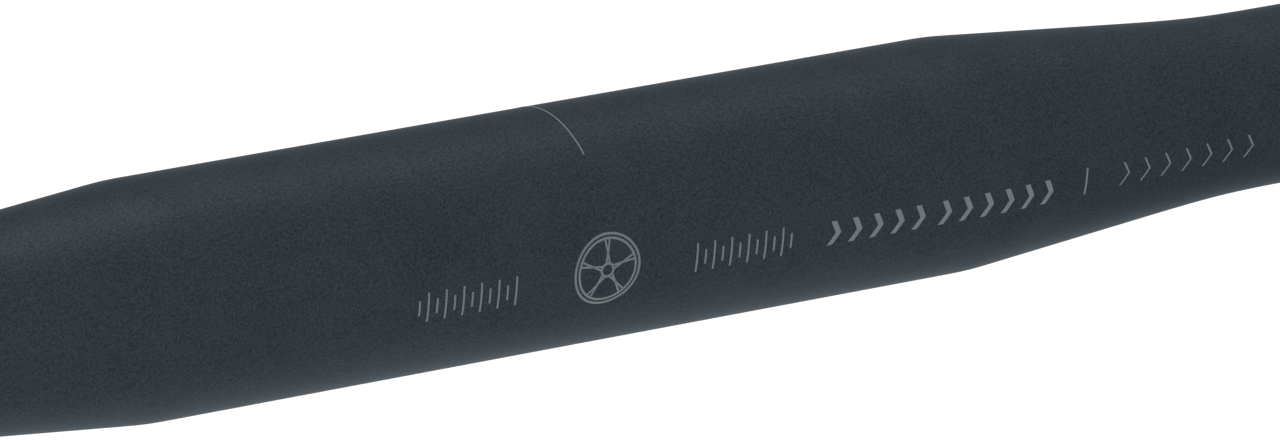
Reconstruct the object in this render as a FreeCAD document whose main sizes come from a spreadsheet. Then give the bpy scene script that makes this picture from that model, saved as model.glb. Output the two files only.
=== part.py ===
import FreeCAD, Part
import math
import os
import Sketcher
from FreeCAD import Placement, Rotation, Vector

# A flared drop handlebar: one butted and bent aluminium tube with a 31.8 mm clamp bulge at its
# middle, and an expanding plug in each of its open ends.
# Origin: the middle of the clamp, on the tube's axis. The clamp runs along X, the hooks reach
# forward to -Y, and the drops hang down to -Z. Millimetres and degrees.

doc = FreeCAD.newDocument("DropHandlebar")

# ------------------------------------------------------------------------ driving dimensions
sheet = doc.addObject("Spreadsheet::Sheet", "Sizes")
DRIVING = {
    # the straight middle of the tube
    "clamp_diameter": 31.8,
    "tube_diameter": 24.0,
    "shoulder_x": 63.2,         # where the clamp and the cone would meet in a sharp edge
    "neck_x": 106.0,            # where the cone and the plain tube would meet
    "shoulder_radius": 74.0,
    "neck_radius": 290.0,
    "clamp_bore": 27.6,
    "tube_bore": 21.0,
    # the bends, from the tops to the drop ends
    "hood_width": 420.0,        # centre to centre, where the hooks start
    "flare": 12.0,              # outward lean of each hook's plane
    "ramp_slope": 8.0,          # fall of the ramp below the level
    "corner_radius": 36.0,
    "ramp_length": 4.2,
    "upper_radius": 34.0,
    "upper_turn": 92.0,
    "lower_radius": 81.6,
    "lower_turn": 75.0,
    "grip_length": 62.0,
    # the plugs: lengths are measured from the tube's end face, and gaps are all round
    "cap_diameter": 23.6,
    "cap_thickness": 4.0,
    "cap_edge": 1.7,
    "spigot_length": 7.0,
    "spigot_wall": 1.7,
    "hub_diameter": 12.4,
    "web_depth": 0.8,           # how far the cap's face is solid below the tube's end face
    "recess_diameter": 9.8,
    "recess_depth": 6.0,
    "bore_gap": 0.05,
    "washer_diameter": 9.4,
    "washer_bore": 5.3,
    "washer_thickness": 0.8,
    "screw_diameter": 5.0,
    "screw_length": 32.0,
    "screw_gap": 0.05,
    "head_diameter": 8.5,
    "head_height": 4.8,
    "head_gap": 0.1,
    "head_edge": 0.6,
    "tip_edge": 0.7,
    "hex_across": 4.0,
    "hex_depth": 2.6,
    "sleeve_length": 18.0,
    "sleeve_throat": 13.0,
    "seat_length": 10.0,
    "seat_mouth": 18.0,
    "slot_width": 2.4,
    "slot_length": 14.0,
    "slot_count": 4,
    "rib_pitch": 3.0,
    "rib_depth": 0.5,
    "rib_count": 5,
    "wedge_gap": 0.2,
    "wedge_skirt": 1.5,
    "key_width": 2.0,
    "key_height": 9.4,
    "key_length": 7.0,
}
for row, (alias, value) in enumerate(DRIVING.items(), start=1):
    sheet.set(f"A{row}", alias)
    sheet.set(f"B{row}", str(value))
    sheet.setAlias(f"B{row}", alias)
doc.recompute()

CELLS = {alias: "Sizes." + alias for alias in DRIVING}
TOUCHING = 0.01                 # lengths nearer than this are the same


def size(alias):
    return float(getattr(sheet, alias))


def bind(item, **expressions):
    """Tie properties to the sheet. In an expression, {flare} stands for the cell flare."""
    for name, text in expressions.items():
        item.setExpression(name, text.format(**CELLS))


# --------------------------------------------------------------------------- building blocks
def origin_part(body, role):
    return next(part for part in body.Origin.OriginFeatures if part.Role == role)


def new_sketch(body, name, role):
    sketch = body.newObject("Sketcher::SketchObject", name)
    sketch.AttachmentSupport = [(origin_part(body, role), "")]
    sketch.MapMode = "FlatFace"
    return sketch


def outline(sketch, corners):
    """Draw a closed outline of straight lines. A corner is a pair of expressions."""
    count = len(corners)
    turn = 2 * math.pi / count
    points = [Vector(math.cos(turn * k), math.sin(turn * k), 0) for k in range(count)]
    for k in range(count):
        sketch.addGeometry(Part.LineSegment(points[k], points[(k + 1) % count]))
    for k in range(count):
        sketch.addConstraint(Sketcher.Constraint("Coincident", k, 2, (k + 1) % count, 1))
    for k, (across, along) in enumerate(corners):
        for kind, text in (("DistanceX", across), ("DistanceY", along)):
            index = sketch.addConstraint(Sketcher.Constraint(kind, -1, 1, k, 1, 1.0))
            sketch.setExpression(f"Constraints[{index}]", text.format(**CELLS))


def blend(sketch, corner, alias):
    """Round one corner of an outline with a tangent arc; the corner keeps its place."""
    doc.recompute()
    before = sketch.GeometryCount
    sketch.fillet(corner, 1, size(alias), True, True)
    index = sketch.addConstraint(Sketcher.Constraint("Radius", before, size(alias)))
    sketch.setExpression(f"Constraints[{index}]", CELLS[alias])


def turned(body, name, corners, feature="Revolution"):
    """Revolve, or groove, an outline of (radius, height) corners about the body's Z axis."""
    sketch = new_sketch(body, name + "Outline", "XZ_Plane")
    outline(sketch, corners)
    shape = body.newObject("PartDesign::" + feature, name)
    shape.Profile = sketch
    shape.ReferenceAxis = (sketch, ["V_Axis"])
    shape.Angle = 360
    return shape


def new_body(label, placement=None):
    body = doc.addObject("PartDesign::Body", label)
    body.Label = label
    if placement:
        body.Placement = placement
    return body


def round_edges(body, name, base, chosen, text, kind="Fillet"):
    """Round or bevel the edges of base that chosen(edge) picks, by the size in text."""
    doc.recompute()
    picked = [f"Edge{k}" for k, edge in enumerate(base.Shape.Edges, start=1) if chosen(edge)]
    if not picked:
        raise RuntimeError(f"{body.Label}: no edge found for {name}")
    feature = body.newObject("PartDesign::" + kind, name)
    feature.Base = (base, picked)
    bind(feature, **{"Radius" if kind == "Fillet" else "Size": text})
    return feature


def circle_at(edge, radius, centre):
    """Is this edge a full circle of this radius about this point?"""
    ring = edge.Curve
    if not isinstance(ring, Part.Circle) or not edge.isClosed():
        return False
    return abs(ring.Radius - radius) < TOUCHING and (ring.Center - centre).Length < TOUCHING


# -------------------------------------------------------------- the tube's centre line
# A frame walks along the centre line of one side: its Z axis is the heading, and a bend turns
# it about its own Y axis, towards its X axis, as a tube bender does.
def ahead(frame, length):
    return frame * Placement(Vector(0, 0, length), Rotation())


def bent(frame, radius, turn):
    angle = math.radians(turn)
    step = Vector(radius * (1 - math.cos(angle)), 0, radius * math.sin(angle))
    return frame * Placement(step, Rotation(Vector(0, 1, 0), turn))


def heading_frame(place, heading, bend_side):
    """A frame that heads along heading and bends towards bend_side."""
    sideways = bend_side - heading * bend_side.dot(heading)
    sideways.normalize()
    return Placement(place, Rotation(sideways, Vector(), heading, "ZXY"))


slope = math.radians(size("ramp_slope"))
flare = math.radians(size("flare"))
outwards = Vector(1, 0, 0)
hook_down = Vector(math.sin(flare), 0, -math.cos(flare))
ramp = Vector(0, -math.cos(slope), 0) + hook_down * math.sin(slope)
corner_turn = math.degrees(outwards.getAngle(ramp))
corner_x = size("hood_width") / 2 - size("corner_radius") * math.sin(math.radians(corner_turn))

# The corner bends in the plane of the clamp and the ramp; the hook bends in its own plane.
corner_start = heading_frame(Vector(corner_x, 0, 0), outwards, ramp)
corner_end = bent(corner_start, size("corner_radius"), corner_turn)
ramp_start = heading_frame(corner_end.Base, ramp, hook_down)
upper_start = ahead(ramp_start, size("ramp_length"))
lower_start = bent(upper_start, size("upper_radius"), size("upper_turn"))
grip_start = bent(lower_start, size("lower_radius"), size("lower_turn"))
tube_end = ahead(grip_start, size("grip_length"))

# ---------------------------------------------------------------------------- bar_tube
# Every stretch is one true cylinder, cone or round bend. The outside and the bore are built
# in the same way, on the rider's left, mirrored to the right, and one is cut from the other.
BEND = Rotation(Vector(-1, 0, 0), Vector(0, 0, 1), Vector(0, 1, 0), "ZXY")
CORNER_X = "({hood_width} / 2 - {corner_radius} * sin(acos(sin({ramp_slope}) * sin({flare}))))"


def straight(name, frame, length, diameter):
    rod = doc.addObject("Part::Cylinder", name)
    bind(rod, Height=length, Radius=diameter + " / 2")
    rod.Placement = frame
    return rod


def curve(name, frame, radius, turn, diameter):
    ring = doc.addObject("Part::Torus", name)
    bind(ring, Radius1="{" + radius + "}", Radius2=diameter + " / 2", Angle3=turn)
    ring.Placement = frame * Placement(Vector(size(radius), 0, 0), BEND)
    return ring


def middle(name, clamp, tube, blends=()):
    """The straight middle of the tube or of its bore, turned about the clamp's axis.

    blends are (corner, radius) pairs: the outline's corners that are rounded.
    """
    body = new_body(name)
    sketch = new_sketch(body, name + "Outline", "XZ_Plane")
    outline(sketch, [
        ("-" + CORNER_X, "0"),
        ("-" + CORNER_X, tube + " / 2"),
        ("-{neck_x}", tube + " / 2"),
        ("-{shoulder_x}", clamp + " / 2"),
        ("{shoulder_x}", clamp + " / 2"),
        ("{neck_x}", tube + " / 2"),
        (CORNER_X, tube + " / 2"),
        (CORNER_X, "0"),
    ])
    for corner, alias in blends:
        blend(sketch, corner, alias)
    turning = body.newObject("PartDesign::Revolution", name + "Turned")
    turning.Profile = sketch
    turning.ReferenceAxis = (sketch, ["H_Axis"])
    turning.Angle = 360
    return body


def whole_length(name, middle_body, diameter, grip):
    """The middle, both sides' bends and both drop ends, fused into one solid."""
    corner_angle = "acos(sin({ramp_slope}) * sin({flare}))"
    side = doc.addObject("Part::MultiFuse", name + "Side")
    side.Shapes = [
        curve(name + "Corner", corner_start, "corner_radius", corner_angle, diameter),
        straight(name + "Ramp", ramp_start, "{ramp_length}", diameter),
        curve(name + "Upper", upper_start, "upper_radius", "{upper_turn}", diameter),
        curve(name + "Lower", lower_start, "lower_radius", "{lower_turn}", diameter),
        straight(name + "Grip", grip_start, grip, diameter),
    ]
    other = doc.addObject("Part::Mirroring", name + "OtherSide")
    other.Source = side
    other.Normal = outwards
    whole = doc.addObject("Part::MultiFuse", name)
    whole.Shapes = [middle_body, side, other]
    whole.Refine = True
    return whole


def bar_tube():
    blends = [(2, "neck_radius"), (3, "shoulder_radius"), (4, "shoulder_radius"),
              (5, "neck_radius")]
    outside = middle("OutsideMiddle", "{clamp_diameter}", "{tube_diameter}", blends)
    bore = middle("BoreMiddle", "{clamp_bore}", "{tube_bore}")
    tube = doc.addObject("Part::Cut", "BarTube")
    tube.Base = whole_length("Outside", outside, "{tube_diameter}", "{grip_length}")
    # The bore's last stretch is longer than the grip, so it runs out past the end face.
    tube.Tool = whole_length("Bore", bore, "{tube_bore}", "{grip_length} * 1.1")
    tube.Label = "bar_tube"
    return tube


# ------------------------------------------------------------------------------- plugs
# A plug's own Z axis points out of the tube, and its origin is the middle of the end face.
SPIGOT = "({tube_bore} / 2 - {bore_gap})"
SCREW_HOLE = "({screw_diameter} / 2 + {screw_gap})"
RECESS_FLOOR = "({cap_thickness} - {recess_depth})"
HEAD_SEAT = "(" + RECESS_FLOOR + " + {washer_thickness} + {head_gap})"
SLEEVE_TOP = "-{spigot_length}"
SLEEVE_END = "(-{spigot_length} - {sleeve_length})"
SEAT_TOP = "(-{spigot_length} - {sleeve_length} + {seat_length})"


def plug_frames():
    """Each side's tube end: the rider's left is +X, and the right is its mirror image."""
    def mirrored(vector):
        return Vector(-vector.x, vector.y, vector.z)

    across = tube_end.Rotation.multVec(Vector(1, 0, 0))
    along = tube_end.Rotation.multVec(Vector(0, 0, 1))
    right = Placement(
        mirrored(tube_end.Base), Rotation(mirrored(across), Vector(), mirrored(along), "ZXY"))
    return {"left": tube_end, "right": right}


def end_cap(label, frame):
    """A moulded nylon cap: a flange the size of the tube, a hollow spigot and a screw hub."""
    body = new_body(label, frame)
    cap = turned(body, "Moulding", [
        ("{recess_diameter} / 2", "{cap_thickness}"),
        ("{cap_diameter} / 2", "{cap_thickness}"),
        ("{cap_diameter} / 2", "0"),
        (SPIGOT, "0"),
        (SPIGOT, "-{spigot_length}"),
        (SPIGOT + " - {spigot_wall}", "-{spigot_length}"),
        (SPIGOT + " - {spigot_wall}", "-{web_depth}"),
        ("{hub_diameter} / 2", "-{web_depth}"),
        ("{hub_diameter} / 2", "-{spigot_length}"),
        (SCREW_HOLE, "-{spigot_length}"),
        (SCREW_HOLE, RECESS_FLOOR),
        ("{recess_diameter} / 2", RECESS_FLOOR),
    ])
    face = Vector(0, 0, size("cap_thickness"))
    rim = round_edges(
        body, "Rim", cap, lambda edge: circle_at(edge, size("cap_diameter") / 2, face),
        "{cap_edge}")
    round_edges(
        body, "RecessMouth", rim,
        lambda edge: circle_at(edge, size("recess_diameter") / 2, face),
        "{cap_edge} / 4")
    return body


def plug_washer(label, frame):
    """A flat steel washer on the floor of the cap's recess."""
    body = new_body(label, frame)
    top = RECESS_FLOOR + " + {washer_thickness}"
    turned(body, "Disc", [
        ("{washer_bore} / 2", top),
        ("{washer_diameter} / 2", top),
        ("{washer_diameter} / 2", RECESS_FLOOR),
        ("{washer_bore} / 2", RECESS_FLOOR),
    ])
    return body


def plug_screw(label, frame):
    """A socket-head machine screw, with its thread left as a plain shank."""
    body = new_body(label, frame)
    head_top = HEAD_SEAT + " + {head_height}"
    tip = HEAD_SEAT + " - {screw_length}"
    blank = turned(body, "Blank", [
        ("0", head_top),
        ("{head_diameter} / 2", head_top),
        ("{head_diameter} / 2", HEAD_SEAT),
        ("{screw_diameter} / 2", HEAD_SEAT),
        ("{screw_diameter} / 2", tip),
        ("0", tip),
    ])
    seat = size("cap_thickness") - size("recess_depth") + size("washer_thickness")
    seat += size("head_gap")
    head_centre = Vector(0, 0, seat + size("head_height"))
    tip_centre = Vector(0, 0, seat - size("screw_length"))
    rim = round_edges(
        body, "HeadRim", blank,
        lambda edge: circle_at(edge, size("head_diameter") / 2, head_centre),
        "{head_edge}")
    pointed = round_edges(
        body, "Tip", rim,
        lambda edge: circle_at(edge, size("screw_diameter") / 2, tip_centre),
        "{tip_edge}", kind="Chamfer")
    hexagon = new_sketch(body, "HexOutline", "XY_Plane")
    bind(hexagon, **{"AttachmentOffset.Base.z": head_top})
    corner = "{hex_across} / sqrt(3) * "
    outline(hexagon, [
        (f"{corner}cos({60 * k})", f"{corner}sin({60 * k})") for k in range(6)])
    socket = body.newObject("PartDesign::Pocket", "HexSocket")
    socket.Profile = hexagon
    bind(socket, Length="{hex_depth}")
    must_cut(body, pointed, socket)
    return body


def expander_sleeve(label, frame):
    """A nylon sleeve, slit from its open end and ribbed, that the wedge spreads."""
    body = new_body(label, frame)
    ring = turned(body, "Ring", [
        (SPIGOT, SLEEVE_TOP),
        (SPIGOT, SLEEVE_END),
        ("{seat_mouth} / 2", SLEEVE_END),
        ("{sleeve_throat} / 2", SEAT_TOP),
        ("{sleeve_throat} / 2", SLEEVE_TOP),
    ])
    slit = new_sketch(body, "SlitOutline", "XZ_Plane")
    outline(slit, [
        ("-{slot_width} / 2", SLEEVE_END),
        ("{slot_width} / 2", SLEEVE_END),
        ("{slot_width} / 2", SLEEVE_END + " + {slot_length}"),
        ("-{slot_width} / 2", SLEEVE_END + " + {slot_length}"),
    ])
    slits = body.newObject("PartDesign::Pocket", "FirstSlits")
    slits.Profile = slit
    slits.Type = "ThroughAll"
    slits.Midplane = True
    must_cut(body, ring, slits)
    all_slits = body.newObject("PartDesign::PolarPattern", "AllSlits")
    all_slits.Originals = [slits]
    all_slits.Axis = (origin_part(body, "Z_Axis"), [""])
    all_slits.Mode = "Spacing"
    bind(all_slits, Occurrences="{slot_count} / 2", Offset="360 / {slot_count}")
    body.Tip = all_slits
    must_cut(body, slits, all_slits)
    groove = turned(body, "FirstRib", [
        (SPIGOT + " + {rib_depth}", SLEEVE_TOP + " - {rib_pitch} + {rib_depth} * 2"),
        (SPIGOT + " - {rib_depth}", SLEEVE_TOP + " - {rib_pitch}"),
        (SPIGOT + " + {rib_depth}", SLEEVE_TOP + " - {rib_pitch} - {rib_depth} * 2"),
    ], feature="Groove")
    must_cut(body, all_slits, groove)
    ribs = body.newObject("PartDesign::LinearPattern", "AllRibs")
    ribs.Originals = [groove]
    ribs.Direction = (origin_part(body, "Z_Axis"), [""])
    ribs.Reversed = True
    ribs.Mode = "Spacing"
    bind(ribs, Occurrences="{rib_count}", Offset="{rib_pitch}")
    body.Tip = ribs
    must_cut(body, groove, ribs)
    return body


def wedge_nut(label, frame):
    """A brass taper with two keys, which ride in the sleeve's slits and stop it turning."""
    body = new_body(label, frame)
    tail = "({seat_mouth} / 2 - {wedge_gap})"
    turned(body, "Taper", [
        ("0", SEAT_TOP),
        ("{sleeve_throat} / 2 - {wedge_gap}", SEAT_TOP),
        (tail, SLEEVE_END),
        (tail, SLEEVE_END + " - {wedge_skirt}"),
        ("0", SLEEVE_END + " - {wedge_skirt}"),
    ])
    key = new_sketch(body, "KeyOutline", "XZ_Plane")
    outline(key, [
        ("-{key_width} / 2", SLEEVE_END),
        ("{key_width} / 2", SLEEVE_END),
        ("{key_width} / 2", SLEEVE_END + " + {key_length}"),
        ("-{key_width} / 2", SLEEVE_END + " + {key_length}"),
    ])
    keys = body.newObject("PartDesign::Pad", "Keys")
    keys.Profile = key
    keys.Midplane = True
    bind(keys, Length="{key_height} * 2")
    hole = new_sketch(body, "HoleOutline", "XY_Plane")
    hole.addGeometry(Part.Circle(Vector(), Vector(0, 0, 1), 1))
    hole.addConstraint(Sketcher.Constraint("Coincident", 0, 3, -1, 1))
    hole.addConstraint(Sketcher.Constraint("Radius", 0, 1.0))
    bind(hole, **{"Constraints[1]": SCREW_HOLE})
    bore = body.newObject("PartDesign::Pocket", "ScrewHole")
    bore.Profile = hole
    bore.Type = "ThroughAll"
    must_cut(body, keys, bore)
    return body


def must_cut(body, before, after):
    """Stop if a cutting feature took nothing away."""
    doc.recompute()
    if after.Shape.Volume > before.Shape.Volume - TOUCHING:
        raise RuntimeError(f"{body.Label}: {after.Label} cuts nothing")


# ---------------------------------------------------------------------------- the assembly
nodes = [bar_tube()]
for side, frame in plug_frames().items():
    nodes += [
        end_cap(side + "_end_cap", frame),
        plug_washer(side + "_plug_washer", frame),
        plug_screw(side + "_plug_screw", frame),
        expander_sleeve(side + "_expander_sleeve", frame),
        wedge_nut(side + "_wedge_nut", frame),
    ]
doc.recompute()

for item in doc.Objects:
    if "Invalid" in item.State or "Error" in item.State:
        raise RuntimeError(f"{item.Label} failed: {item.State}")
for node in nodes:
    if node.Shape.isNull() or not node.Shape.isValid():
        raise RuntimeError(f"{node.Label} has no valid shape")

foremost = bent(upper_start, size("upper_radius"), 90 - size("ramp_slope"))
print("reach %.2f  drop %.2f  ends %.1f behind the clamp and %.1f apart" % (
    -foremost.Base.y, -tube_end.Base.z, tube_end.Base.y, 2 * tube_end.Base.x))

os.makedirs("parts", exist_ok=True)
for node in nodes:
    solids = node.Shape.Solids
    print(f"{node.Label}: {len(solids)} solid, {node.Shape.Volume:.1f} mm3")
    node.Shape.exportStep(f"parts/{node.Label}.step")
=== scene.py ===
import math

import bmesh
import bpy
from mathutils import Matrix, Vector


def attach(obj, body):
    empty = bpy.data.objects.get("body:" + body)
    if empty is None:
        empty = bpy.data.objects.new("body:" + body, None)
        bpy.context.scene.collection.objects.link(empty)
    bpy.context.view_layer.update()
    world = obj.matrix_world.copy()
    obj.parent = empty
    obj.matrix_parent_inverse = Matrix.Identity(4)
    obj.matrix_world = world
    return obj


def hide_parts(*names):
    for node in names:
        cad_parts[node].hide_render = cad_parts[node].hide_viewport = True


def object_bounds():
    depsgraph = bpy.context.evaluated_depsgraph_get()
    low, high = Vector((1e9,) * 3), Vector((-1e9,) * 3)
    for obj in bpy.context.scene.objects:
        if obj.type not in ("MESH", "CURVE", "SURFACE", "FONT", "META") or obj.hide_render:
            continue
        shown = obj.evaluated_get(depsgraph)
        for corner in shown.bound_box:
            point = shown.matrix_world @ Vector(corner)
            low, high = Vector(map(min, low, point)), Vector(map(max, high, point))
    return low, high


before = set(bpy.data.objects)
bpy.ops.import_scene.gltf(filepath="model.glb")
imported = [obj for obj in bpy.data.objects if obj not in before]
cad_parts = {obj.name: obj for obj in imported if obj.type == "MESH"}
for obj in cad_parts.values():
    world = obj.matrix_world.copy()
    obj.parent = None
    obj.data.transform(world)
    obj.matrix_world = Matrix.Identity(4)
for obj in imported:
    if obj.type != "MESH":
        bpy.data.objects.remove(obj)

cad_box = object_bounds()


# ------------------------------------------------------------------------------- the tube
# One length of aluminium tube, drawn to 31.8 mm at the stem clamp and swaged to 24 mm beyond
# it, bent into two corners and two hooks that lean outwards, then blasted with fine beads and
# anodised black.
MM = 0.001
TUBE = {
    "Clamp radius": 15.9 * MM,
    "Tube radius": 12.0 * MM,
    "Shoulder": 63.2 * MM,          # where the clamp and the cone would meet in a sharp edge
    "Neck": 106.0 * MM,             # where the cone and the plain tube would meet
    "Shoulder bend": 74.0 * MM,     # the radii that round those two edges
    "Neck bend": 290.0 * MM,
    "Facets": 112,
}
BORE = {
    **TUBE,
    "Clamp radius": 13.8 * MM,
    "Tube radius": 10.5 * MM,
    "Shoulder bend": 0.0,
    "Neck bend": 0.0,
}
HALF_WIDTH = 210.0 * MM
FLARE = math.radians(12.0)
RAMP_SLOPE = math.radians(8.0)
CORNER_RADIUS = 36.0 * MM
RAMP_LENGTH = 4.2 * MM
UPPER_RADIUS = 34.0 * MM
UPPER_TURN = math.radians(92.0)
LOWER_RADIUS = 81.6 * MM
LOWER_TURN = math.radians(75.0)
GRIP_LENGTH = 62.0 * MM
GRIP_STEP = 12.0 * MM
EDGE_BREAK = 0.25 * MM          # the cut ends are broken by this much, inside and outside


class Wire:
    """A socket in a node tree. Sums of wires add Math nodes, and node() adds any other kind."""

    def __init__(self, tree, socket=None):
        self.tree = tree
        self.socket = socket

    def node(self, kind, settings=None, sockets=None, out=0):
        """Add a node: its settings come first, then its sockets' values or wires."""
        made = self.tree.nodes.new(kind)
        for name, value in (settings or {}).items():
            setattr(made, name, value)
        for name, value in (sockets or {}).items():
            if isinstance(value, Wire):
                self.tree.links.new(value.socket, made.inputs[name])
            else:
                made.inputs[name].default_value = value
        return Wire(self.tree, made.outputs[out] if made.outputs else None)

    def axes(self):
        """The X, Y and Z of this wire, which carries a place."""
        parts = self.node("ShaderNodeSeparateXYZ", sockets={"Vector": self}).socket.node
        return [Wire(self.tree, parts.outputs[axis]) for axis in "XYZ"]

    def vector(self, **axes):
        """A vector of these X, Y and Z. Those left out are 0."""
        return self.node("ShaderNodeCombineXYZ", sockets=axes)

    def between(self, dark, light):
        """The colour from dark, where this wire is 0, to light, where it is 1."""
        factor, first_colour, second_colour = 0, 6, 7
        return self.node("ShaderNodeMix", {"data_type": "RGBA"}, {
            factor: self, first_colour: (*dark, 1), second_colour: (*light, 1)}, out=2)

    def relief(self, strength, depth):
        """The surface tipped as if this wire, from 0 to 1, were a height of this depth."""
        return self.node("ShaderNodeBump", sockets={
            "Strength": strength, "Distance": depth, "Height": self})

    def math(self, operation, *others):
        values = dict(enumerate((self, *others)))
        return self.node("ShaderNodeMath", {"operation": operation}, values)

    def __add__(self, other):
        return self.math("ADD", other)

    def __radd__(self, other):
        return self.math("ADD", other)

    def __sub__(self, other):
        return self.math("SUBTRACT", other)

    def __rsub__(self, other):
        return self.math("MULTIPLY_ADD", -1.0, other)

    def __mul__(self, other):
        return self.math("MULTIPLY", other)

    def __rmul__(self, other):
        return self.math("MULTIPLY", other)

    def __truediv__(self, other):
        return self.math("DIVIDE", other)

    def __neg__(self):
        return self.math("MULTIPLY", -1.0)


def node_tree(name, inputs):
    """A new geometry tree with a Geometry input and these number inputs, and its input wires."""
    tree = bpy.data.node_groups.new(name, "GeometryNodeTree")
    tree.interface.new_socket("Geometry", in_out="INPUT", socket_type="NodeSocketGeometry")
    tree.interface.new_socket("Geometry", in_out="OUTPUT", socket_type="NodeSocketGeometry")
    for label, value in inputs.items():
        kind = "NodeSocketInt" if isinstance(value, int) else "NodeSocketFloat"
        tree.interface.new_socket(label, in_out="INPUT", socket_type=kind).default_value = value
    entry = tree.nodes.new("NodeGroupInput")
    return Wire(tree), {socket.name: Wire(tree, socket) for socket in entry.outputs[:-1]}


def close_tree(geometry, finish):
    """End a tree with its instances made real and its finish on it."""
    real = geometry.node("GeometryNodeRealizeInstances", sockets={"Geometry": geometry})
    painted = geometry.node(
        "GeometryNodeSetMaterial", sockets={"Geometry": real, "Material": finish})
    leaving = geometry.tree.nodes.new("NodeGroupOutput")
    geometry.tree.links.new(painted.socket, leaving.inputs["Geometry"])
    return geometry.tree


def new_object(name, content):
    """A new object in the scene, at the origin."""
    made = bpy.data.objects.new(name, content)
    bpy.context.scene.collection.objects.link(made)
    return made


def plain_mesh(name, worker):
    """Keep what a worker object's modifiers make as a plain mesh object, and drop the worker."""
    bpy.context.view_layer.update()
    result = worker.evaluated_get(bpy.context.evaluated_depsgraph_get())
    mesh = bpy.data.meshes.new_from_object(result)
    worker.modifiers.clear()
    bpy.data.objects.remove(worker)
    # A tree leaves an empty material slot in front of its own finish.
    for slot in reversed(range(len(mesh.materials))):
        if mesh.materials[slot] is None:
            mesh.materials.pop(index=slot)
    mesh.name = name
    return new_object(name, mesh)


def grown(name, tree, sizes, points=(), edges=()):
    """Run a geometry tree on a line of points and keep the result as a plain mesh."""
    start = bpy.data.meshes.new(name)
    start.from_pydata(points, edges, [])
    worker = new_object(name, start)
    making = worker.modifiers.new("Making", "NODES")
    making.node_group = tree
    for item in tree.interface.items_tree:
        if item.in_out == "INPUT" and item.name in sizes:
            making[item.identifier] = sizes[item.name]
    return plain_mesh(name, worker)


def radius_at(along, sizes):
    """The tube's radius at a distance along the clamp: clamp, cone and tube, blended."""
    slope = (sizes["Clamp radius"] - sizes["Tube radius"]) / (sizes["Neck"] - sizes["Shoulder"])
    cone = sizes["Clamp radius"] - slope * (along.math("ABSOLUTE") - sizes["Shoulder"])
    blends = {
        edge: sizes[edge + " bend"] * slope * slope / 2 for edge in ("Shoulder", "Neck")}
    shouldered = cone.math("SMOOTH_MIN", sizes["Clamp radius"], blends["Shoulder"])
    return shouldered.math("SMOOTH_MAX", sizes["Tube radius"], blends["Neck"])


def tube_tree(finish):
    """A tube along a line of points, as wide at each as the clamp, cone or plain tube is."""
    start, given = node_tree("Tube along its centre line", TUBE)
    line = start.node("GeometryNodeMeshToCurve", sockets={"Mesh": given["Geometry"]})
    line = start.node(
        "GeometryNodeSetCurveNormal", {"mode": "MINIMUM_TWIST"}, {"Curve": line})
    along, _, _ = start.node("GeometryNodeInputPosition").axes()
    ring = start.node(
        "GeometryNodeCurvePrimitiveCircle", {"mode": "RADIUS"},
        {"Resolution": given["Facets"], "Radius": 1.0})
    skin = start.node("GeometryNodeCurveToMesh", sockets={
        "Curve": line, "Profile Curve": ring, "Scale": radius_at(along, given)})
    smooth = start.node("GeometryNodeSetShadeSmooth", sockets={"Geometry": skin})
    return close_tree(smooth, finish)


def heading_frame(place, heading, bend_side):
    """A frame at place whose Z axis is the heading and whose X axis points to the bend side."""
    across = (bend_side - heading * bend_side.dot(heading)).normalized()
    turned = Matrix((across, heading.cross(across), heading)).transposed().to_4x4()
    return Matrix.Translation(place) @ turned


def straight(points, here, length, step):
    """Walk straight on, adding a point at least every step."""
    count = max(1, math.ceil(length / step))
    points += [here @ Vector((0, 0, length * k / count)) for k in range(1, count + 1)]
    return here @ Matrix.Translation((0, 0, length))


def bend(points, here, radius, turn, step=math.radians(2.5)):
    """Walk round a bend towards the frame's X axis."""
    count = math.ceil(turn / step)
    for k in range(1, count + 1):
        angle = turn * k / count
        points.append(here @ Vector((radius * (1 - math.cos(angle)), 0, radius * math.sin(angle))))
    last = here.inverted() @ points[-1]
    return here @ Matrix.Translation(last) @ Matrix.Rotation(turn, 4, "Y")


outwards = Vector((1, 0, 0))
hook_down = Vector((math.sin(FLARE), 0, -math.cos(FLARE)))
ramp = Vector((0, -math.cos(RAMP_SLOPE), 0)) + hook_down * math.sin(RAMP_SLOPE)
corner_turn = outwards.angle(ramp)
corner_x = HALF_WIDTH - CORNER_RADIUS * math.sin(corner_turn)

# Each stretch of the straight middle: where it ends, and the step between its points.
stretches = [
    (0.90 * TUBE["Shoulder"], 12.0 * MM),       # the clamp
    (1.10 * TUBE["Shoulder"], 0.8 * MM),        # the rounded shoulder
    (0.84 * TUBE["Neck"], 6.0 * MM),            # the cone
    (1.16 * TUBE["Neck"], 1.6 * MM),            # the hollowed neck
    (corner_x, 10.0 * MM),                      # the plain tube
]
half_line = [Vector((0, 0, 0))]
walk = heading_frame(half_line[0], outwards, ramp)
for stretch_end, step in stretches:
    walk = straight(half_line, walk, stretch_end - walk.translation.x, step)
walk = bend(half_line, walk, CORNER_RADIUS, corner_turn)
walk = heading_frame(walk.translation, ramp, hook_down)
walk = straight(half_line, walk, RAMP_LENGTH, RAMP_LENGTH)
walk = bend(half_line, walk, UPPER_RADIUS, UPPER_TURN)
walk = bend(half_line, walk, LOWER_RADIUS, LOWER_TURN)
tube_end = straight(half_line, walk, GRIP_LENGTH, GRIP_STEP)

centre_line = [Vector((-p.x, p.y, p.z)) for p in reversed(half_line[1:])] + half_line
line_edges = [(k, k + 1) for k in range(len(centre_line) - 1)]


def new_finish(name):
    """A material with an empty tree: a start for its wires, and its object-space place."""
    finish = bpy.data.materials.new(name)
    finish.use_nodes = True
    finish.node_tree.nodes.clear()
    start = Wire(finish.node_tree)
    place = start.node("ShaderNodeTexCoord", out="Object")
    return finish, start, place


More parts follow.
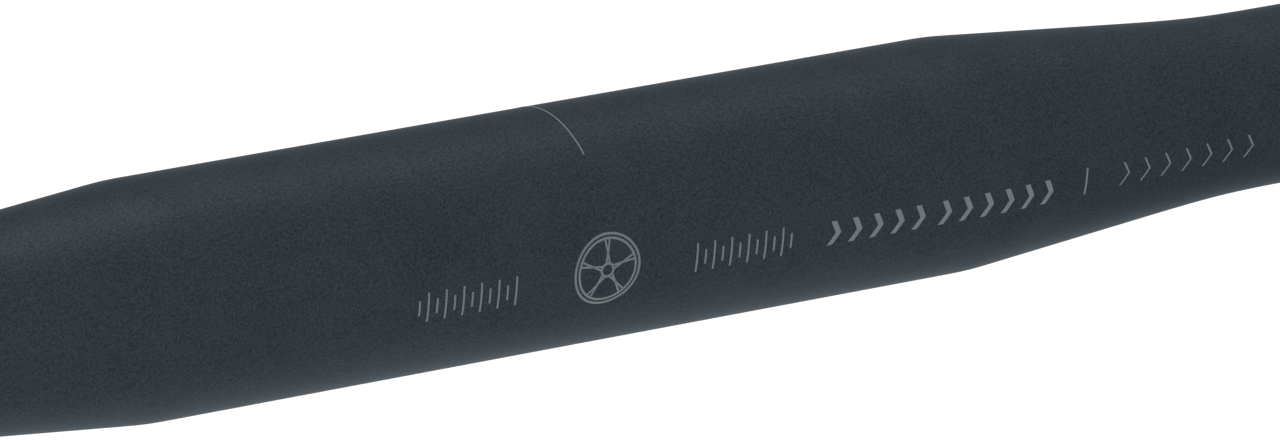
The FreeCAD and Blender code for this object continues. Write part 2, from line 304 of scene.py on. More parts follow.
def coat(start, sockets):
    """Close a finish with one Principled surface."""
    surface = start.node("ShaderNodeBsdfPrincipled", sockets=sockets)
    start.node("ShaderNodeOutputMaterial", sockets={"Surface": surface})


def noise(place, size, detail=2.0, roughness=0.5):
    """Noise between 0 and 1 with features of about this size in metres."""
    return place.node("ShaderNodeTexNoise", sockets={
        "Vector": place, "Scale": 1.0 / size, "Detail": detail, "Roughness": roughness})


PIT_SIZE = 0.30 * MM            # the pits that the beads leave
PIT_DEPTH = 0.04 * MM
DYE_CLOUD_SIZE = 9.0 * MM       # the slow drift of the dye's depth
# The colour's ends: its spread is painted shade and painted highlight of the pits, over the dye's
# real drift.
ANODISED_DARK = (0.022, 0.027, 0.032)
ANODISED_LIGHT = (0.044, 0.054, 0.064)
ANODISED_GLANCING = (0.53, 0.57, 0.60)


def black_anodised():
    """Fine blasted speckle: each pit tips the surface and catches or loses light, and that light
    and shade is painted into the colour too, as painted highlight and painted shade over the dye's
    real drift.
    """
    finish, start, place = new_finish("Black anodised")
    grain = noise(place, PIT_SIZE, detail=1.0)
    cloud = noise(place, DYE_CLOUD_SIZE, detail=3.0)
    # Painted shade and painted highlight of the pits in the colour, with the dye's real slow
    # drift.
    painted_pit_shade_and_dye = 0.5 + 2.2 * (grain - 0.5) + 0.5 * (cloud - 0.5)
    coat(start, {
        "Base Color": painted_pit_shade_and_dye.between(ANODISED_DARK, ANODISED_LIGHT),
        "Roughness": 0.44 + 0.08 * grain + 0.05 * cloud,
        "Normal": grain.relief(0.6, PIT_DEPTH),
        "Metallic": 1.0,
        "Specular Tint": (*ANODISED_GLANCING, 1)})
    return finish


def joined_skins(name, finish, outside, bore):
    """Close the outside and the bore into one wall, with a flat ring at each open end.

    Both skins have the same layout, so a bore vertex is the outside's, further down the list.
    """
    wall = bmesh.new()
    for skin in (outside, bore):
        wall.from_mesh(skin.data)
        bpy.data.objects.remove(skin)
    wall.verts.ensure_lookup_table()
    wall.verts.index_update()
    further = len(wall.verts) // 2
    rims = [edge for edge in wall.edges if edge.is_boundary and edge.verts[0].index < further]
    for start, end in ((rim.verts[0].index, rim.verts[1].index) for rim in rims):
        corners = (start, end, end + further, start + further)
        wall.faces.new([wall.verts[k] for k in corners])
    bmesh.ops.recalc_face_normals(wall, faces=wall.faces)
    mesh = bpy.data.meshes.new(name)
    wall.to_mesh(mesh)
    wall.free()
    mesh.materials.append(finish)
    return new_object(name, mesh)


anodised = black_anodised()
along_centre_line = tube_tree(anodised)
wall = joined_skins("tube_wall", anodised, *(
    grown(name, along_centre_line, sizes, centre_line, line_edges)
    for name, sizes in (("tube_outside", TUBE), ("tube_bore", BORE))))
broken_edge = wall.modifiers.new("Broken edge", "BEVEL")
broken_edge.width = EDGE_BREAK
broken_edge.segments = 2
broken_edge.limit_method = "ANGLE"
broken_edge.angle_limit = math.radians(50)
tube = plain_mesh("handlebar_tube", wall)
tube.data.set_sharp_from_angle(angle=math.radians(40))
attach(tube, "bar")
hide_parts("bar_tube")


# ------------------------------------------------------------------------ marks on the clamp
# Marks burnt through the black by a laser: a hairline over the top at the middle of the clamp,
# and a scale of twelve strokes on each side, for centring the bar and setting its angle.
MARK_HEIGHT = 0.03 * MM
FRONT_ROW = -2.55 * MM          # how far round from the front the marks are centred, upwards
ROW = {
    "Count": 1,
    "First": 0.0,
    "Pitch": 0.0,
    "Stroke": 0.28 * MM,
    "Long": 4.1 * MM,
    "Short": 4.1 * MM,
    "Round": FRONT_ROW,
    "Point": 0.0,
    "Lean": 0.0,
    "Height": MARK_HEIGHT,
    "Rows": 9,
}


def wrapped(flat):
    """Roll flat work round the tube. Flat x is along the clamp, y round it and z above it."""
    along, around, above = flat.node("GeometryNodeInputPosition").axes()
    radius = radius_at(along, TUBE)
    angle = around / radius
    level = radius + above
    rolled = flat.vector(X=along, Y=-level * angle.math("COSINE"), Z=level * angle.math("SINE"))
    return flat.node("GeometryNodeSetPosition", sockets={"Geometry": flat, "Position": rolled})


def row_tree(finish):
    """A row of strokes along the clamp: alternately long and short, pointed or leaning."""
    start, given = node_tree("Row of etched strokes", ROW)
    index = start.node("GeometryNodeInputIndex")
    place = start.vector(X=given["First"] + index * given["Pitch"], Y=given["Round"])
    places = start.node("GeometryNodePoints", sockets={"Count": given["Count"], "Position": place})
    odd = index.math("MODULO", 2.0)
    length = given["Long"] + odd * (given["Short"] - given["Long"])
    size = start.vector(X=given["Stroke"], Y=length, Z=2 * given["Height"])
    block = start.node("GeometryNodeMeshCube", sockets={
        "Size": (1, 1, 1), "Vertices X": 2, "Vertices Y": given["Rows"], "Vertices Z": 2})
    strokes = start.node("GeometryNodeInstanceOnPoints", sockets={
        "Points": places, "Instance": block, "Scale": size})
    real = start.node("GeometryNodeRealizeInstances", sockets={"Geometry": strokes})
    _, around, _ = start.node("GeometryNodeInputPosition").axes()
    off_centre = around - given["Round"]
    half = given["Long"] * 0.5
    drift = given["Point"] * (1 - off_centre.math("ABSOLUTE") / half) + given["Lean"] * off_centre
    moved = start.node(
        "GeometryNodeSetPosition", sockets={"Geometry": real, "Offset": start.vector(X=drift)})
    return close_tree(wrapped(moved), finish)


SPOT_SIZE = 0.16 * MM           # the laser's overlapping spots
SPOT_DEPTH = 0.02 * MM
ETCHED_DARK = (0.085, 0.105, 0.115)
ETCHED_LIGHT = (0.155, 0.180, 0.190)


def etched_grey():
    """Bare oxide, matt and slightly uneven from one laser spot to the next."""
    finish, start, place = new_finish("Etched grey")
    spots = noise(place, SPOT_SIZE)
    coat(start, {
        "Base Color": spots.between(ETCHED_DARK, ETCHED_LIGHT),
        "Roughness": 0.6 + 0.15 * spots,
        "Normal": spots.relief(0.3, SPOT_DEPTH)})
    return finish


etched = etched_grey()
row_of_strokes = row_tree(etched)


def etched_row(name, **sizes):
    """Etch a row of strokes. Sizes that aren't given are those of ROW."""
    row = grown(name, row_of_strokes, {**ROW, **sizes})
    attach(row, "bar")


SCALE_START = 13.9 * MM
SCALE_PITCH = 1.334 * MM
SCALE_SHORT = 2.1 * MM
for side, sign in (("left", 1), ("right", -1)):
    etched_row(
        f"clamp_scale_{side}", Count=12, First=sign * SCALE_START, Pitch=sign * SCALE_PITCH,
        Short=SCALE_SHORT)

HAIRLINE_FRONT = math.radians(50.5)     # how far up from the front the hairline starts
hairline_turn = math.pi - 2 * HAIRLINE_FRONT
etched_row(
    "centre_hairline", Stroke=0.2 * MM, Rows=49, Round=TUBE["Clamp radius"] * math.pi / 2,
    Long=TUBE["Clamp radius"] * hairline_turn)


# --------------------------------------------------------------- pattern beside the clamp
# In place of any name: two groups of bold chevrons beside the left scale, a leaning divider,
# and a row of fine chevrons that runs out along the cone. All are burnt as the scales are.
BOLD = {
    "Pitch": 3.35 * MM,
    "Stroke": 0.85 * MM,
    "Long": 3.4 * MM,
    "Short": 3.4 * MM,
    "Round": -2.6 * MM,
    "Point": 1.0 * MM,
    "Lean": 0.12,
    "Rows": 13,
}
etched_row("bold_chevrons_inner", **BOLD, Count=5, First=35.0 * MM)
etched_row("bold_chevrons_outer", **BOLD, Count=6, First=52.6 * MM)
etched_row(
    "divider", First=76.4 * MM, Stroke=0.3 * MM, Long=3.9 * MM, Short=3.9 * MM,
    Round=-2.3 * MM, Lean=0.02)
etched_row(
    "fine_chevrons", Count=7, First=82.7 * MM, Pitch=3.6 * MM, Stroke=0.3 * MM,
    Long=3.3 * MM, Short=3.3 * MM, Point=1.1 * MM, Lean=0.1, Round=-2.4 * MM, Rows=13)


# ------------------------------------------------------------------------------- emblem
# A plain wheel in the middle of the clamp's front, burnt as the scales are. It has a rim, a
# line for the tyre, a hub and crossed spokes.
EMBLEM = {
    "Rim radius": 4.3 * MM,
    "Tyre radius": 4.9 * MM,
    "Hub radius": 0.9 * MM,
    "Line": 0.34 * MM,
    "Spokes": 10,
    "Spoke width": 0.8,             # as a share of the line
    "Spoke trim": 0.9,              # the share of the hub's radius that shortens a spoke
    "Spoke lean": 0.5,
    "Spoke steps": 9,
    "Facets": 72,
    "Round": -1.9 * MM,
    "Height": MARK_HEIGHT,
}


def emblem_tree(finish):
    """A wheel drawn flat and rolled round the tube. Its spokes lean one way and the other."""
    start, given = node_tree("Wheel emblem", EMBLEM)
    section = start.node(
        "GeometryNodeCurvePrimitiveQuadrilateral", {"mode": "RECTANGLE"},
        {"Width": given["Line"], "Height": 2 * given["Height"]})
    pieces = []
    for ring in ("Rim radius", "Tyre radius", "Hub radius"):
        circle = start.node(
            "GeometryNodeCurvePrimitiveCircle", {"mode": "RADIUS"},
            {"Resolution": given["Facets"], "Radius": given[ring]})
        pieces.append(start.node("GeometryNodeCurveToMesh", sockets={
            "Curve": circle, "Profile Curve": section}))
    hub = start.node("GeometryNodeMeshCircle", sockets={
        "Vertices": given["Spokes"], "Radius": given["Hub radius"]})
    index = start.node("GeometryNodeInputIndex")
    spacing = 2 * math.pi * (index / given["Spokes"])
    crossing = given["Spoke lean"] * (1 - 2 * index.math("MODULO", 2.0))
    turn = start.node("FunctionNodeEulerToRotation", sockets={
        0: start.vector(Z=spacing + crossing)})
    span = given["Rim radius"] - given["Spoke trim"] * given["Hub radius"]
    width = given["Spoke width"] * given["Line"]
    size = start.vector(X=span, Y=width, Z=2 * given["Height"])
    block = start.node("GeometryNodeMeshCube", sockets={
        "Size": (1, 1, 1), "Vertices X": given["Spoke steps"], "Vertices Y": 2, "Vertices Z": 2})
    reaching = start.node("GeometryNodeTransform", sockets={
        "Geometry": block, "Translation": (0.5, 0, 0)})
    pieces.append(start.node("GeometryNodeInstanceOnPoints", sockets={
        "Points": hub, "Instance": reaching, "Rotation": turn, "Scale": size}))
    joined = start.tree.nodes.new("GeometryNodeJoinGeometry")
    for piece in reversed(pieces):
        start.tree.links.new(piece.socket, joined.inputs["Geometry"])
    whole = Wire(start.tree, joined.outputs["Geometry"])
    real = start.node("GeometryNodeRealizeInstances", sockets={"Geometry": whole})
    placed = start.node("GeometryNodeSetPosition", sockets={
        "Geometry": real, "Offset": start.vector(Y=given["Round"])})
    return close_tree(wrapped(placed), finish)


emblem = grown("wheel_emblem", emblem_tree(etched), EMBLEM)
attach(emblem, "bar")


# ------------------------------------------------------------------------------ end caps
# A moulded nylon cap closes each end of the tube. Its flange is as wide as the tube, and its
# spigot is hollowed out between the outer wall and the screw's hub, with six webs across.

# A plug is drawn in millimetres, with its origin in the middle of the tube's end face and its
# axis pointing out of the tube. It is scaled as it is placed.
SPIGOT_RADIUS = 10.45
SPIGOT_WALL = 1.7
SPIGOT_END = -7.0
WEB_DEPTH = -0.8
HUB_RADIUS = 6.2
SCREW_HOLE = 2.55
CAP_RADIUS = 11.8
CAP_TOP = 4.0
CAP_EDGE = 1.7
RECESS_RADIUS = 4.9
RECESS_FLOOR = -2.0
FACE_GROOVE = 8.9               # radius of the fine groove in the cap's face
GROOVE_HALF_MOUTH = 0.35
GROOVE_HALF_FLOOR = 0.2
GROOVE_DEPTH = 0.25
PLUG_FACETS = 96
SHARP_ANGLE = math.radians(35)


def mirrored(vector):
    """The same vector on the other side of the bar."""
    return Vector((-vector.x, vector.y, vector.z))


end_across, _, end_along, end_place = (tube_end.col[k].to_3d() for k in range(4))
PLUG_FRAMES = {
    "left": heading_frame(end_place, end_along, end_across),
    "right": heading_frame(mirrored(end_place), mirrored(end_along), mirrored(end_across)),
}


def rounded(outline, steps=4):
    """Turn each (radius, height, rounding) corner of a closed outline into an arc."""
    points = []
    for k, (radius, height, rounding) in enumerate(outline):
        corner = Vector((radius, height))
        if not rounding:
            points.append(corner)
            continue
        before = (Vector(outline[k - 1][:2]) - corner).normalized()
        after = (Vector(outline[(k + 1) % len(outline)][:2]) - corner).normalized()
        half = before.angle(after) / 2
        centre = corner + (before + after).normalized() * (rounding / math.sin(half))
        first = corner + before * (rounding / math.tan(half)) - centre
        last = corner + after * (rounding / math.tan(half)) - centre
        points += [
            centre + first.lerp(last, step / steps).normalized() * rounding
            for step in range(steps + 1)]
    return points


def skinned(shape, rings, facets=PLUG_FACETS, closed=True):
    """Skin (radius, height) rings about Z. Either may be a function of the angle."""
    loops = []
    for radius, height in rings:
        if radius == 0:
            loops.append([shape.verts.new((0, 0, height))] * facets)
            continue
        loop = []
        for k in range(facets):
            angle = 2 * math.pi * k / facets
            reach = radius(angle) if callable(radius) else radius
            level = height(angle) if callable(height) else height
            loop.append(shape.verts.new(
                (reach * math.cos(angle), reach * math.sin(angle), level)))
        loops.append(loop)
    for lower, upper in zip(loops, loops[1:] + loops[:1] if closed else loops[1:]):
        for k in range(facets):
            corners = dict.fromkeys((lower[k - 1], lower[k], upper[k], upper[k - 1]))
            shape.faces.new(corners)


def plug_piece(name, body, finish, shape, node=None):
    """Keep a finished shape as one mesh on each side of the bar, in place of a CAD node."""
    bmesh.ops.recalc_face_normals(shape, faces=shape.faces)
    for side, frame_here in PLUG_FRAMES.items():
        mesh = bpy.data.meshes.new(f"{side}_{name}")
        shape.to_mesh(mesh)
        mesh.transform(Matrix.Scale(MM, 4))
        own_place = mesh.attributes.new("own_place", "FLOAT_VECTOR", "POINT")
        own_place.data.foreach_set("vector", [x for v in mesh.vertices for x in v.co])
        mesh.transform(frame_here)
        mesh.shade_smooth()
        mesh.set_sharp_from_angle(angle=SHARP_ANGLE)
        mesh.materials.append(finish)
        made = new_object(f"{side}_{name}", mesh)
        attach(made, f"{side}_{body}")
        if node:
            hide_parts(f"{side}_{node}")
    shape.free()


def own_finish(name):
    """A material with an empty tree: a start for its wires, and the piece's own place."""
    finish, start, _ = new_finish(name)
    place = start.node("ShaderNodeAttribute", {"attribute_name": "own_place"}, out="Vector")
    return finish, start, place


BLOOM_SIZE = 0.22 * MM          # the grain that a spark-eroded mould leaves
BLOOM_DEPTH = 0.025 * MM
FLOW_SIZE = 4.5 * MM            # marks where the nylon flowed
NYLON_SHEEN = 0.32


def moulded_nylon(name, dark, light, rough):
    """Nylon from a spark-eroded mould: a fine even bloom, with paler flow marks in it."""
    finish, start, place = own_finish(name)
    bloom = noise(place, BLOOM_SIZE)
    flow = noise(place, FLOW_SIZE, detail=3.0, roughness=0.6)
    shade = 0.5 + 1.5 * (bloom - 0.5) + 1.2 * (flow - 0.5)
    coat(start, {
        "Base Color": shade.between(dark, light),
        "Roughness": rough + 0.12 * bloom + 0.08 * flow,
        "Specular IOR Level": NYLON_SHEEN,
        "Normal": bloom.relief(0.6, BLOOM_DEPTH)})
    return finish


cap_nylon = moulded_nylon("Black nylon", (0.012, 0.013, 0.014), (0.030, 0.032, 0.034), 0.46)
cap_shape = bmesh.new()
skinned(cap_shape, rounded([
    (RECESS_RADIUS, CAP_TOP, 0.42),
    (FACE_GROOVE - GROOVE_HALF_MOUTH, CAP_TOP, 0.08),
    (FACE_GROOVE - GROOVE_HALF_FLOOR, CAP_TOP - GROOVE_DEPTH, 0.05),
    (FACE_GROOVE + GROOVE_HALF_FLOOR, CAP_TOP - GROOVE_DEPTH, 0.05),
    (FACE_GROOVE + GROOVE_HALF_MOUTH, CAP_TOP, 0.08),
    (CAP_RADIUS, CAP_TOP, CAP_EDGE),
    (CAP_RADIUS, 0.0, 0.2),
    (SPIGOT_RADIUS, 0.0, 0.0),
    (SPIGOT_RADIUS, SPIGOT_END, 0.4),
    (SPIGOT_RADIUS - SPIGOT_WALL, SPIGOT_END, 0.2),
    (SPIGOT_RADIUS - SPIGOT_WALL, WEB_DEPTH, 0.3),
    (HUB_RADIUS, WEB_DEPTH, 0.3),
    (HUB_RADIUS, SPIGOT_END, 0.2),
    (SCREW_HOLE, SPIGOT_END, 0.3),
    (SCREW_HOLE, RECESS_FLOOR, 0.15),
    (RECESS_RADIUS, RECESS_FLOOR, 0.2),
], steps=5))
plug_piece("cap_moulding", "plug", cap_nylon, cap_shape, node="end_cap")

WEB_ROOT = 0.2                  # how far each web runs into the walls that it joins
WEB_SETBACK = 0.8               # how far it stops short of the spigot's end
CAP_WEBS = {
    "Count": 6,
    "Inner": HUB_RADIUS - WEB_ROOT,
    "Outer": SPIGOT_RADIUS - SPIGOT_WALL + WEB_ROOT,
    "Top": WEB_DEPTH + WEB_ROOT,
    "Bottom": SPIGOT_END + WEB_SETBACK,
    "Thickness": 1.0,
}


def web_tree(finish):
    """Flat webs that stand round a hub like spokes."""
    start, given = node_tree("Webs round a hub", CAP_WEBS)
    middle = (given["Inner"] + given["Outer"]) / 2
    height = (given["Top"] + given["Bottom"]) / 2
    ring = start.node("GeometryNodeMeshCircle", sockets={
        "Vertices": given["Count"], "Radius": middle})
    raised = start.node("GeometryNodeTransform", sockets={
        "Geometry": ring, "Translation": start.vector(Z=height)})
    size = start.vector(
        X=given["Outer"] - given["Inner"], Y=given["Thickness"],
        Z=given["Top"] - given["Bottom"])
    web = start.node("GeometryNodeMeshCube", sockets={"Size": size})
    index = start.node("GeometryNodeInputIndex")
    turn = start.node("FunctionNodeEulerToRotation", sockets={
        0: start.vector(Z=2 * math.pi * (index / given["Count"]))})
    webs = start.node("GeometryNodeInstanceOnPoints", sockets={
        "Points": raised, "Instance": web, "Rotation": turn})
    return close_tree(webs, finish)


webs = grown("cap_webs", web_tree(cap_nylon), CAP_WEBS)
web_shape = bmesh.new()
web_shape.from_mesh(webs.data)
bpy.data.objects.remove(webs)
plug_piece("cap_webs", "plug", cap_nylon, web_shape)


# ------------------------------------------------------------------------------- washers
# A zinc-plated steel washer lies on the floor of each cap's recess. It was punched from sheet,
# so one edge of its rim is rounder than the other.
WASHER_HOLE = 2.65
WASHER_RADIUS = 4.7
WASHER_TOP = RECESS_FLOOR + 0.8
TARNISH_SIZE = 2.2 * MM
RING_DEPTH = 0.006 * MM         # of the tool marks that turning leaves


def turned_metal(name, dark, light, rough, ring_size):
    """Bare metal with fine rings about the plug's axis, over a little tarnish."""
    finish, start, place = own_finish(name)
    across, beside, height = place.axes()
    reach = (across * across + beside * beside).math("SQRT")
    rings = noise(start.vector(X=reach, Z=height), ring_size, detail=1.0)
    tarnish = noise(place, TARNISH_SIZE, detail=4.0, roughness=0.65)
    shade = 0.5 + 1.6 * (tarnish - 0.5) + 0.8 * (rings - 0.5)
    coat(start, {
        "Base Color": shade.between(dark, light),
        "Roughness": rough + 0.18 * tarnish + 0.08 * rings,
        "Metallic": 1.0,
        "Normal": rings.relief(0.5, RING_DEPTH)})
    return finish


washer_shape = bmesh.new()
skinned(washer_shape, rounded([
    (WASHER_HOLE, WASHER_TOP, 0.12),
    (WASHER_RADIUS, WASHER_TOP, 0.3),
    (WASHER_RADIUS, RECESS_FLOOR, 0.05),
    (WASHER_HOLE, RECESS_FLOOR, 0.05),
]))
plug_piece(
    "flat_washer", "plug",
    turned_metal("Zinc plate", (0.34, 0.36, 0.38), (0.50, 0.52, 0.54), 0.28, 0.12 * MM),
    washer_shape, node="plug_washer")


# -------------------------------------------------------------------------------- screws
# A stainless M5 socket-head screw draws each wedge nut along. Its head is knurled, its socket
# is broached to a drilled floor, and its thread runs from near the head to the chamfered tip.
HEAD_SEAT = WASHER_TOP + 0.1
HEAD_TOP = HEAD_SEAT + 4.8
HEAD_RADIUS = 4.25
HEAD_EDGE = 0.6
HEAD_FOOT = 0.3                 # the chamfer round the head's underside
KNURL_COUNT = 36
KNURL_DEPTH = 0.14
KNURL_FADE = 0.3                # the height over which the ridges rise from the plain head
SOCKET_APOTHEM = 2.0
SOCKET_FLOOR = HEAD_TOP - 2.6
SOCKET_CHAMFER = 2.5            # radius of the chamfer round the socket's mouth
SOCKET_CHAMFER_SLOPE = 0.7
SOCKET_CONE = 0.7               # depth of the drill's cone below the socket's floor
SOCKET_CONE_RADIUS = 0.9 * SOCKET_APOTHEM
THREAD_RADIUS = 2.5
THREAD_PITCH = 0.8
THREAD_DEPTH = 0.46
CREST_SHARE = 0.15              # of half a pitch, from the crest's middle to the flank
FLANK_SHARE = 0.6
RINGS_PER_TURN = 10             # rings of vertices in each turn of the thread
THREAD_FACETS = 32
SHANK_ROOT = 0.2                # how far up inside the head the shank starts
THREAD_START = HEAD_SEAT - 2.0
SCREW_TIP = HEAD_SEAT - 32.0
TIP_CHAMFER = 0.7


def hexagon(angle):
    """The socket's reach: its corners lie at 0, 60, 120 degrees and so on."""
    return SOCKET_APOTHEM / math.cos(angle % (math.pi / 3) - math.pi / 6)


def socket_mouth(angle):
    """The height at which the chamfer meets the socket: highest at the hexagon's corners."""
    return HEAD_TOP - SOCKET_CHAMFER_SLOPE * (SOCKET_CHAMFER - hexagon(angle))


def knurl(angle):
    """The head's reach: straight ridges, side by side all round."""
    ridge = angle * KNURL_COUNT / (2 * math.pi) % 1
    return HEAD_RADIUS - KNURL_DEPTH * abs(2 * ridge - 1)


def thread_at(height):
    """The thread's reach at a height: a crest, two flanks and a root in each pitch."""
    run_in = min(1, (THREAD_START - height) / THREAD_PITCH)
    run_out = min(1, (height - SCREW_TIP) / TIP_CHAMFER)
    crest = THREAD_RADIUS - TIP_CHAMFER * (1 - run_out)

    def reach(angle):
        turn = (height / THREAD_PITCH - angle / (2 * math.pi)) % 1
        below = min(1, max(0, (abs(2 * turn - 1) - CREST_SHARE) / FLANK_SHARE))
        return crest - THREAD_DEPTH * below * run_in * run_out
    return reach


head_edge = [
    (HEAD_RADIUS - HEAD_EDGE * (1 - math.sin(turn)), HEAD_TOP - HEAD_EDGE * (1 - math.cos(turn)))
    for turn in (math.radians(15 * k) for k in range(6))]
screw_shape = bmesh.new()
skinned(screw_shape, [
    (0, SOCKET_FLOOR - SOCKET_CONE),
    (SOCKET_CONE_RADIUS, SOCKET_FLOOR),
    (hexagon, SOCKET_FLOOR),
    (hexagon, socket_mouth),
    (SOCKET_CHAMFER, HEAD_TOP),
    *head_edge,
    (knurl, HEAD_TOP - HEAD_EDGE - KNURL_FADE),
    (knurl, HEAD_SEAT + HEAD_FOOT + KNURL_FADE),
    (HEAD_RADIUS - KNURL_DEPTH, HEAD_SEAT + HEAD_FOOT),
    (HEAD_RADIUS - HEAD_FOOT, HEAD_SEAT),
    (0, HEAD_SEAT),
], facets=4 * KNURL_COUNT, closed=False)
ring_count = round(RINGS_PER_TURN * (THREAD_START - SCREW_TIP) / THREAD_PITCH)
thread_heights = [
    THREAD_START + (SCREW_TIP - THREAD_START) * k / ring_count for k in range(ring_count + 1)]
skinned(screw_shape, [
    (0, HEAD_SEAT + SHANK_ROOT),
    (THREAD_RADIUS, HEAD_SEAT + SHANK_ROOT),
    *((thread_at(height), height) for height in thread_heights),
    (0, SCREW_TIP),
], facets=THREAD_FACETS, closed=False)
plug_piece(
    "socket_screw", "screw",
    turned_metal("Stainless steel", (0.24, 0.24, 0.235), (0.38, 0.375, 0.365), 0.24, 0.09 * MM),
    screw_shape, node="plug_screw")


# ------------------------------------------------------------------------------- sleeves
# A grey nylon sleeve grips the tube's bore when the wedge nut spreads it. Four slits divide it
# into fingers from its open end, and five grooves round it give it its ribs.
FINGER_COUNT = 4
SLEEVE_LENGTH = 18.0
SLEEVE_TOP = SPIGOT_END
SLEEVE_END = SLEEVE_TOP - SLEEVE_LENGTH
SLEEVE_THROAT = 6.5
SEAT_LENGTH = 10.0
SEAT_TOP = SLEEVE_END + SEAT_LENGTH
SEAT_MOUTH = 9.0
SLIT_WIDTH = 2.4
SLIT_LENGTH = 14.0
SLIT_TOP = SLEEVE_END + SLIT_LENGTH
RIB_PITCH = 3.0
RIB_COUNT = 5
RIB_DEPTH = 0.5
FINGER_FACETS = 18
RIB_GROOVES = [SLEEVE_TOP - RIB_PITCH * (k + 1) for k in range(RIB_COUNT)]


def sleeve_radii(height):
    """The sleeve's outer and inner radius at a height."""
    groove = max(0, *(RIB_DEPTH - abs(height - middle) for middle in RIB_GROOVES))
    taper = max(0, SEAT_TOP - height) / (SEAT_TOP - SLEEVE_END)
    return SPIGOT_RADIUS - groove, SLEEVE_THROAT + (SEAT_MOUTH - SLEEVE_THROAT) * taper


def sleeve_rings(shape, heights):
    """For each height, a ring of outer and inner vertices that keeps clear of the slits."""
    rings = []
    for height in heights:
        pair = []
        for radius in sleeve_radii(height):
            clear = math.asin(SLIT_WIDTH / 2 / radius)
            share = 2 * math.pi / FINGER_COUNT
            sweep = share - 2 * clear
            angles = [
                finger * share + clear + sweep * k / FINGER_FACETS
                for finger in range(FINGER_COUNT) for k in range(FINGER_FACETS + 1)]
            pair.append([
                shape.verts.new((radius * math.cos(a), radius * math.sin(a), height))
                for a in angles])
        rings.append(pair)
    return rings


def skin_column(faces, rings, heights, column):
    """Skin the sleeve from top to bottom, between one column of its vertices and the next."""
    count = FINGER_COUNT * (FINGER_FACETS + 1)
    beside = (column + 1) % count
    over_slit = column % (FINGER_FACETS + 1) == FINGER_FACETS

    def close_across(outer, inner):
        faces.new((outer[column], outer[beside], inner[beside], inner[column]))

    close_across(*rings[0])
    for (outer, inner), (outer_below, inner_below), height in zip(rings, rings[1:], heights):
        if not over_slit or height > SLIT_TOP:
            for above, below in ((outer, outer_below), (inner, inner_below)):
                faces.new((above[column], above[beside], below[beside], below[column]))
            continue
        if height == SLIT_TOP:
            close_across(outer, inner)
        for side in (column, beside):
            faces.new((outer[side], inner[side], inner_below[side], outer_below[side]))
    if not over_slit:
        close_across(*rings[-1])


groove_heights = {
    middle + offset for middle in RIB_GROOVES for offset in (RIB_DEPTH, 0.0, -RIB_DEPTH)}
sleeve_heights = sorted(
    groove_heights | {SLEEVE_TOP, SLIT_TOP, SEAT_TOP, SLEEVE_END}, reverse=True)
sleeve_shape = bmesh.new()
sleeve_levels = sleeve_rings(sleeve_shape, sleeve_heights)
for column in range(FINGER_COUNT * (FINGER_FACETS + 1)):
    skin_column(sleeve_shape.faces, sleeve_levels, sleeve_heights, column)
plug_piece(
    "ribbed_sleeve", "plug",
    moulded_nylon("Grey nylon", (0.050, 0.053, 0.056), (0.085, 0.089, 0.093), 0.42),
    sleeve_shape, node="expander_sleeve")


# ----------------------------------------------------------------------------- wedge nuts
# A brass taper threaded on the end of each screw. Two keys on its sides ride in the sleeve's
# slits, so the screw draws it along instead of turning it.
WEDGE_GAP = 0.2
WEDGE_SKIRT = 1.5
KEY_WIDTH = 2.0
KEY_REACH = 9.4
KEY_LENGTH = 7.0
KEY_ROOT = 5.0                  # radius inside the taper at which each key starts
KEY_EDGE = 0.25

wedge_shape = bmesh.new()
skinned(wedge_shape, rounded([
    (SCREW_HOLE, SEAT_TOP, 0.4),
    (SLEEVE_THROAT - WEDGE_GAP, SEAT_TOP, 0.5),
    (SEAT_MOUTH - WEDGE_GAP, SLEEVE_END, 0.3),
    (SEAT_MOUTH - WEDGE_GAP, SLEEVE_END - WEDGE_SKIRT, 0.4),
    (SCREW_HOLE, SLEEVE_END - WEDGE_SKIRT, 0.4),
]))
for sign in (1, -1):
    key = bmesh.ops.create_cube(wedge_shape, size=1.0, matrix=Matrix.LocRotScale(
        (0, sign * (KEY_REACH + KEY_ROOT) / 2, SLEEVE_END + KEY_LENGTH / 2), None,
        (KEY_WIDTH, KEY_REACH - KEY_ROOT, KEY_LENGTH)))
    bmesh.ops.bevel(
        wedge_shape, geom=list({edge for v in key["verts"] for edge in v.link_edges}),
        offset=KEY_EDGE, segments=2, profile=0.5, affect="EDGES")
plug_piece(
    "taper_nut", "wedge",
    turned_metal("Brass", (0.38, 0.25, 0.09), (0.60, 0.43, 0.18), 0.26, 0.14 * MM),
    wedge_shape, node="wedge_nut")


# ------------------------------------------------------------------- floor, light and camera
# A wide white floor, a white surround and one soft panel overhead. The floor lies just below
# the drops, so that a plug that is pulled out clears it, and a painted glow on it, emission with
# no lamp, lights the bar softly from below.
FLOOR_HALF_SIZE = 60.0
FLOOR_WHITE = (0.95, 0.95, 0.95)
PLUG_TRAVEL = 40.0 * MM         # the drops slope down, and so does a plug that is pulled out
PAINTED_GLOW_HALF_LENGTH = 0.30
PAINTED_GLOW_HALF_WIDTH = 0.07
PAINTED_GLOW_BEHIND = 0.035             # how far behind the bar the painted glow is centred
PAINTED_GLOW_COLOUR = (1.0, 0.94, 0.88)
PAINTED_GLOW_STRENGTH = 1.1

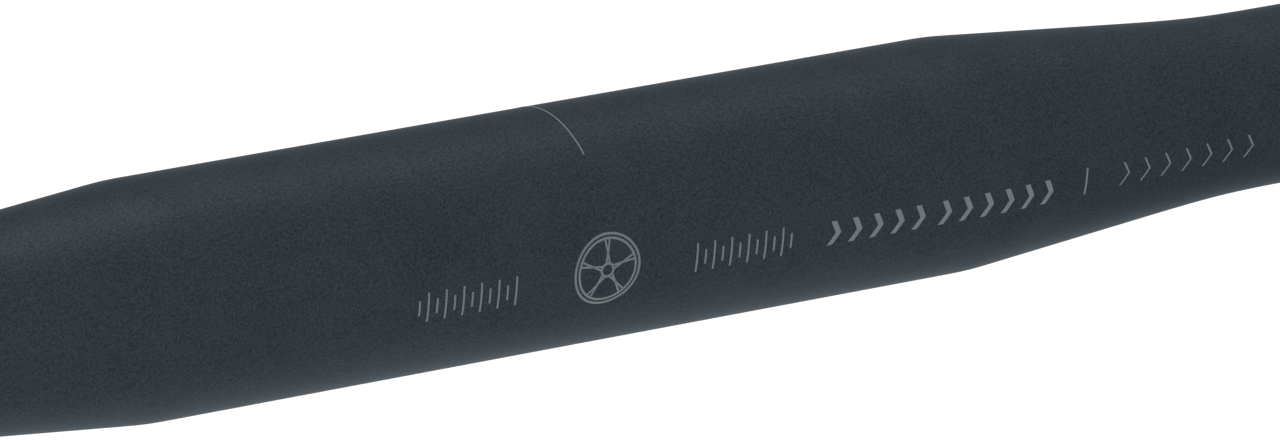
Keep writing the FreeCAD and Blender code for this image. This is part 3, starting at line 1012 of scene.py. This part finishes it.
floor_height = cad_box[0].z + PLUG_TRAVEL * end_along.z
floor_mesh = bpy.data.meshes.new("floor")
floor_corners = [(-1, -1), (1, -1), (1, 1), (-1, 1)]
floor_mesh.from_pydata(
    [(x * FLOOR_HALF_SIZE, y * FLOOR_HALF_SIZE, floor_height) for x, y in floor_corners],
    [], [(0, 1, 2, 3)])
floor = new_object("floor", floor_mesh)
floor_paint, floor_start, floor_place = new_finish("Floor white, painted glow")
floor_x, floor_y, _ = floor_place.axes()
painted_glow_x = floor_x / PAINTED_GLOW_HALF_LENGTH
painted_glow_y = (floor_y - PAINTED_GLOW_BEHIND) / PAINTED_GLOW_HALF_WIDTH
# A painted pool of light: the floor glows under the bar though it is no lamp, and lights the bar's
# underside.
painted_glow_falloff = (-(painted_glow_x * painted_glow_x + painted_glow_y * painted_glow_y)).math("EXPONENT")
coat(floor_start, {
    "Base Color": (*FLOOR_WHITE, 1),
    "Roughness": 0.9,
    "Emission Color": painted_glow_falloff.between((0, 0, 0), PAINTED_GLOW_COLOUR),
    "Emission Strength": PAINTED_GLOW_STRENGTH})
floor_mesh.materials.append(floor_paint)

world = bpy.data.worlds.new("White surround")
bpy.context.scene.world = world
world.use_nodes = True
world.node_tree.nodes["Background"].inputs["Color"].default_value = (1, 1, 1, 1)
world.node_tree.nodes["Background"].inputs["Strength"].default_value = 1.0

PANEL_PLACE = Vector((0.6, 0.8, 3.0))
PANEL_SIZE = 2.0
PANEL_WATTS = 20.0
panel = bpy.data.lights.new("overhead", "AREA")
panel.shape = "SQUARE"
panel.size = PANEL_SIZE
panel.energy = PANEL_WATTS
lamp = new_object("overhead", panel)
lamp.location = PANEL_PLACE
lamp.rotation_euler = (-PANEL_PLACE).to_track_quat("-Z", "Y").to_euler()

VIEW_TURN = math.radians(-32.62)        # the camera stands to the right-hand end of the bar
VIEW_RISE = math.radians(16.50)
VIEW_DISTANCE = 1.5411
VIEW_CENTRE = Vector((0.0151, 0.0, -0.0015))
LENS = 329.7
back = Vector((
    math.sin(VIEW_TURN) * math.cos(VIEW_RISE),
    -math.cos(VIEW_TURN) * math.cos(VIEW_RISE),
    math.sin(VIEW_RISE)))
camera_data = bpy.data.cameras.new("camera")
camera_data.lens = LENS
camera_data.sensor_width = 36.0
camera_data.clip_start = 0.05
camera_data.clip_end = 200.0
camera = new_object("camera", camera_data)
camera.location = VIEW_CENTRE + back * VIEW_DISTANCE
camera.rotation_euler = back.to_track_quat("Z", "Y").to_euler()
bpy.context.scene.camera = camera
bpy.context.scene.view_settings.view_transform = "Standard"
